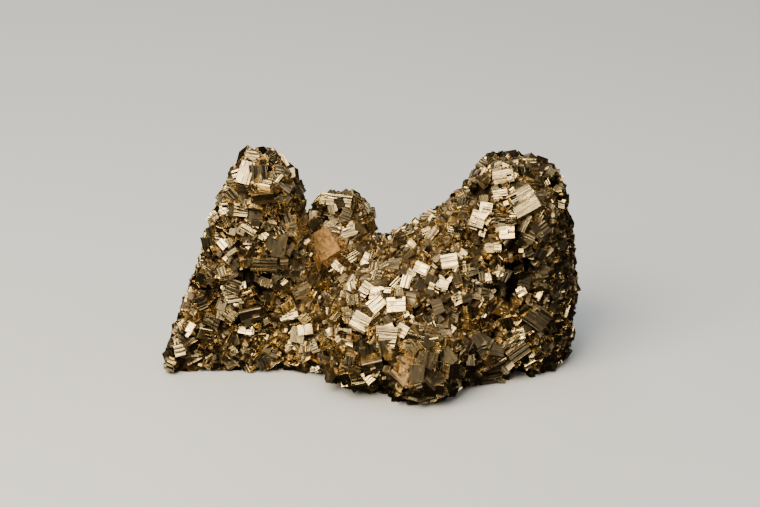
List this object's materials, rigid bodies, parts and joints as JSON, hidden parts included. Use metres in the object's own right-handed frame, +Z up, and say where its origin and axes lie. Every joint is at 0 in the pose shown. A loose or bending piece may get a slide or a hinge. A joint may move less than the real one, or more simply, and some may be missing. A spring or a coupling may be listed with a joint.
{
  "type": "mineral specimen",
  "caption": "Saddle-shaped cluster of interlocking pyrite cubes with two tall horns and a flat broken base that it stands on for display.",
  "frame": {"origin": "middle of the outline's length and depth, on the plane of the flat base", "axes": "+X along the length, from the pointed horn to the rounded one; +Z up from the base; the lowest bulge is at the front, towards -Y"},
  "size_m": [0.1078, 0.061, 0.058],
  "materials": {
    "pyrite": "gloss"
  },
  "bodies": {
    "root": {"pyrite_cluster": "pyrite"}
  },
  "joints": []
}
